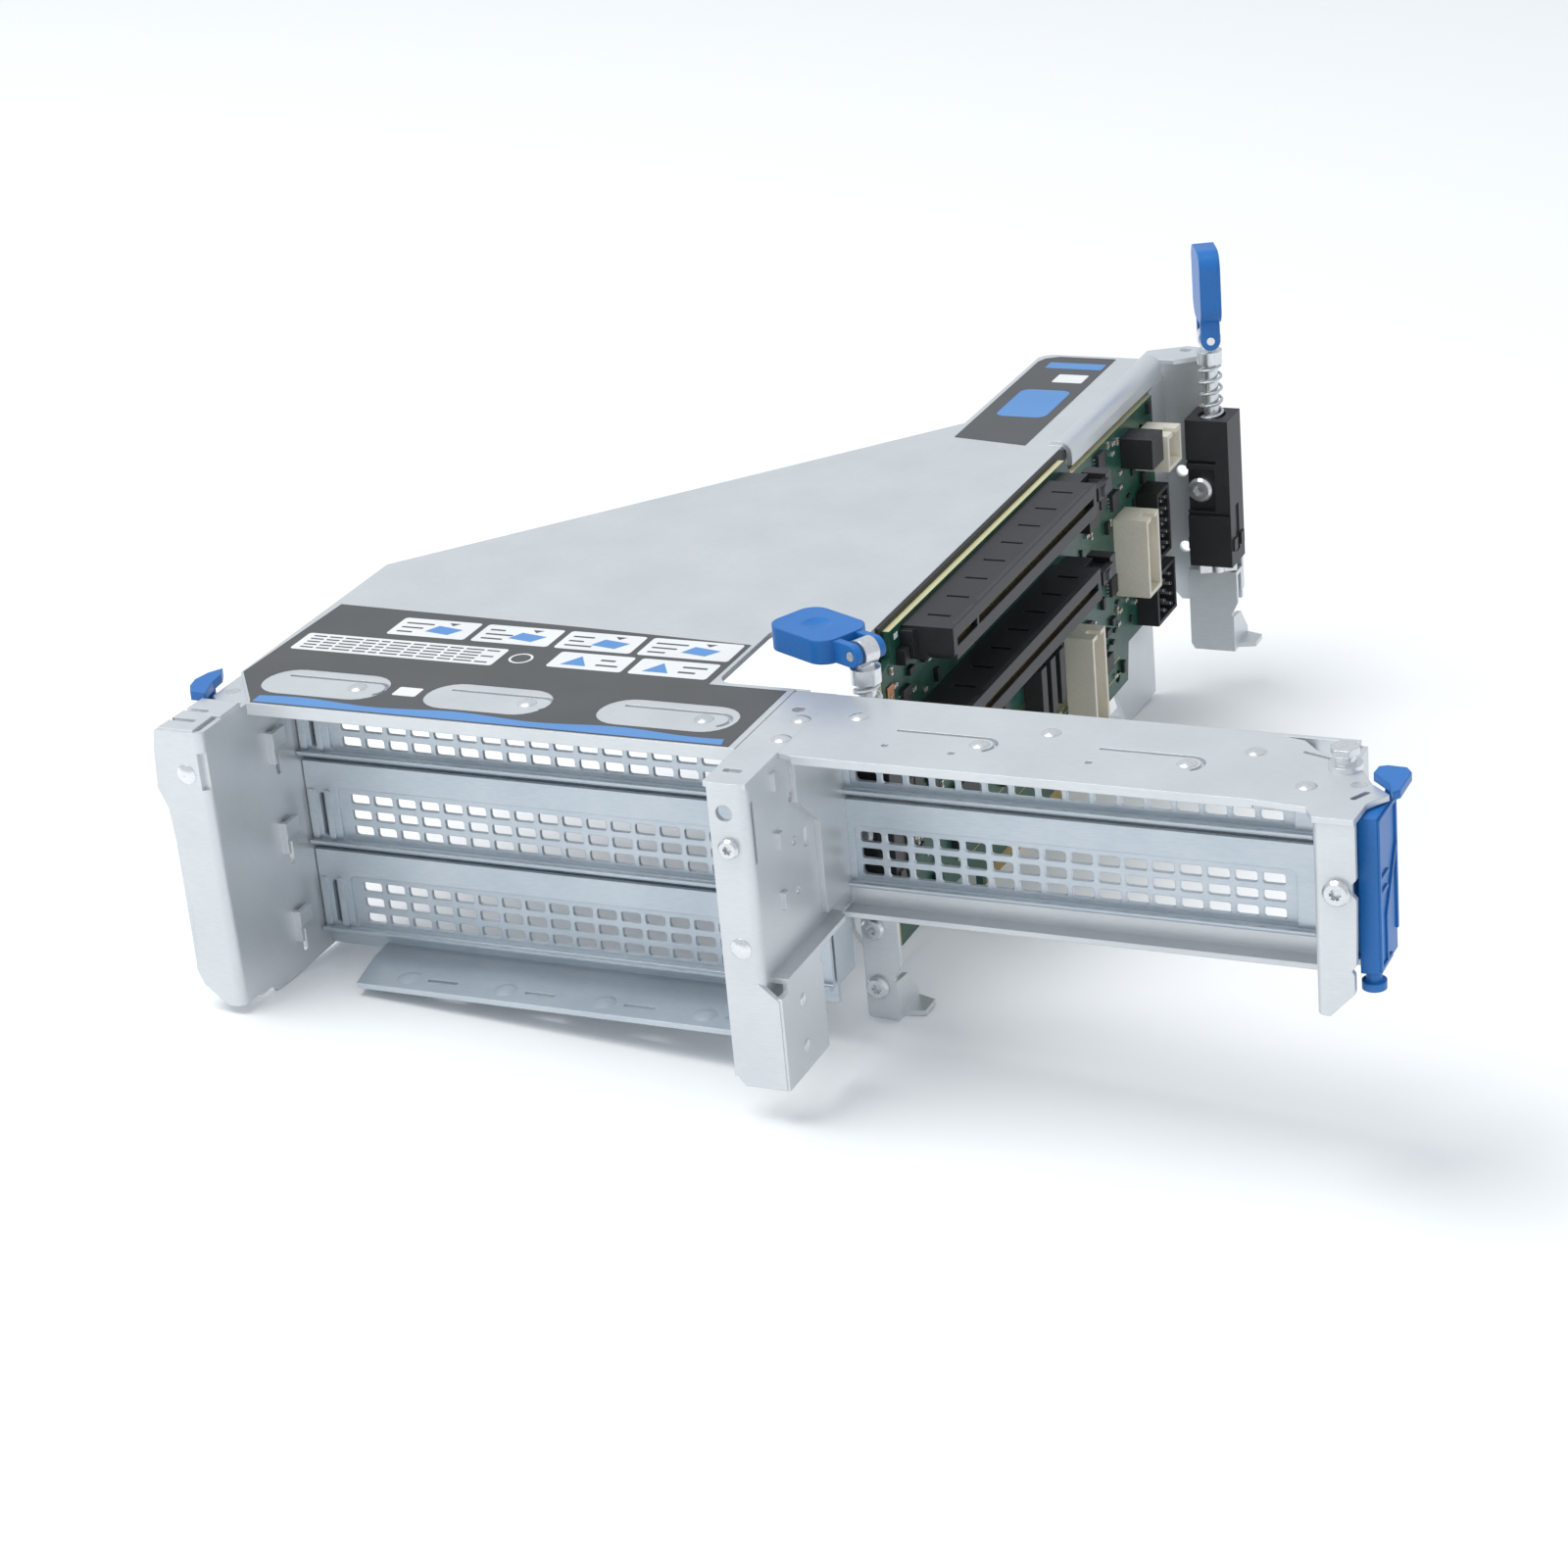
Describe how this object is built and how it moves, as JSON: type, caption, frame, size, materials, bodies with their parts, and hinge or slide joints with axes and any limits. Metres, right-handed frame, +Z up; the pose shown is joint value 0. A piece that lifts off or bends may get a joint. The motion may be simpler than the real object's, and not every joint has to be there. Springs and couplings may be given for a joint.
{
  "type": "server riser cage",
  "caption": "Folded steel riser cage with perforated slot blanks, a riser board with card connectors, two fold-down quarter-turn latches and two swinging blue retainers.",
  "frame": {"origin": "on the top cover's upper face, in the plane of the left slot blanks, above their first column of holes", "axes": "+X across the slots to the end of the wing, +Y into the server, +Z up out of the cover"},
  "size_m": [0.2533, 0.2707, 0.1132],
  "materials": {
    "zinc_sheet": "satin zinc-plated",
    "bright_steel": "bright zinc",
    "blue_plastic": "fine matt",
    "black_plastic": "matt",
    "board_green": "solder mask, satin",
    "cream_plastic": "matt"
  },
  "bodies": {
    "cage": {"top_cover": "zinc_sheet", "left_side_panel": "zinc_sheet", "divider_panel": "zinc_sheet", "slot_wall": "zinc_sheet", "wing_frame": "zinc_sheet", "end_post": "zinc_sheet", "blank_1": "zinc_sheet", "blank_2": "zinc_sheet", "blank_3": "zinc_sheet", "wing_blank_1": "zinc_sheet", "wing_blank_2": "zinc_sheet", "board_plate": "zinc_sheet", "near_leg": "zinc_sheet", "rear_bracket": "zinc_sheet", "rear_foot": "zinc_sheet", "near_spring": "bright_steel", "rear_spring": "bright_steel", "left_pivot": "bright_steel", "right_pivot": "bright_steel", "corner_stud": "bright_steel", "cover_rivets": "bright_steel", "wing_rivets": "bright_steel", "post_rivets": "bright_steel", "leg_screws": "bright_steel", "insulator_sheet": "black_plastic", "connector_upper": "black_plastic", "connector_lower": "black_plastic", "left_connector_1": "black_plastic", "left_connector_2": "black_plastic", "left_connector_3": "black_plastic", "near_guide": "black_plastic", "rear_guide": "black_plastic", "pin_headers": "black_plastic", "board_parts": "black_plastic", "riser_board": "board_green", "power_sockets": "cream_plastic"},
    "near_latch": {"near_shaft": "bright_steel", "near_hinge_pin": "bright_steel"},
    "near_grip": {"near_handle": "blue_plastic"},
    "rear_latch": {"rear_shaft": "bright_steel", "rear_hinge_pin": "bright_steel"},
    "rear_grip": {"rear_handle": "blue_plastic"},
    "left_clip": {"left_retainer": "blue_plastic"},
    "right_clip": {"right_retainer": "blue_plastic"},
    "upper_lever": {"connector_lever_upper": "black_plastic"},
    "lower_lever": {"connector_lever_lower": "black_plastic"}
  },
  "joints": [
    {"name": "near_latch_turn", "type": "hinge", "parent": "cage", "child": "near_latch", "pos_m": [0.11, 0.0166, 0], "axis": [0, 0, 1], "range_deg": [0, 90]},
    {"name": "near_grip_fold", "type": "hinge", "parent": "near_latch", "child": "near_grip", "pos_m": [0.11, 0.0166, 0.0066], "axis": [0.4384, 0.8988, 0], "range_deg": [0, 90]},
    {"name": "rear_latch_turn", "type": "hinge", "parent": "cage", "child": "rear_latch", "pos_m": [0.1155, 0.222, 0], "axis": [0, 0, 1], "range_deg": [-90, 0]},
    {"name": "rear_grip_fold", "type": "hinge", "parent": "rear_latch", "child": "rear_grip", "pos_m": [0.1155, 0.222, 0.0066], "axis": [-0.4384, 0.8988, 0], "range_deg": [-90, 0]},
    {"name": "left_retainer_swing", "type": "hinge", "parent": "cage", "child": "left_clip", "pos_m": [-0.0189, -0.012, -0.02], "axis": [0, 0, 1], "range_deg": [-24, 0]},
    {"name": "right_retainer_swing", "type": "hinge", "parent": "cage", "child": "right_clip", "pos_m": [0.217, -0.01, -0.02], "axis": [0, 0, 1], "range_deg": [0, 26]},
    {"name": "upper_lever_swing", "type": "hinge", "parent": "cage", "child": "upper_lever", "pos_m": [0.1074, 0.1461, -0.00585], "axis": [0, 0, 1], "range_deg": [0, 20]},
    {"name": "lower_lever_swing", "type": "hinge", "parent": "cage", "child": "lower_lever", "pos_m": [0.1074, 0.1461, -0.02617], "axis": [0, 0, 1], "range_deg": [0, 20]}
  ]
}
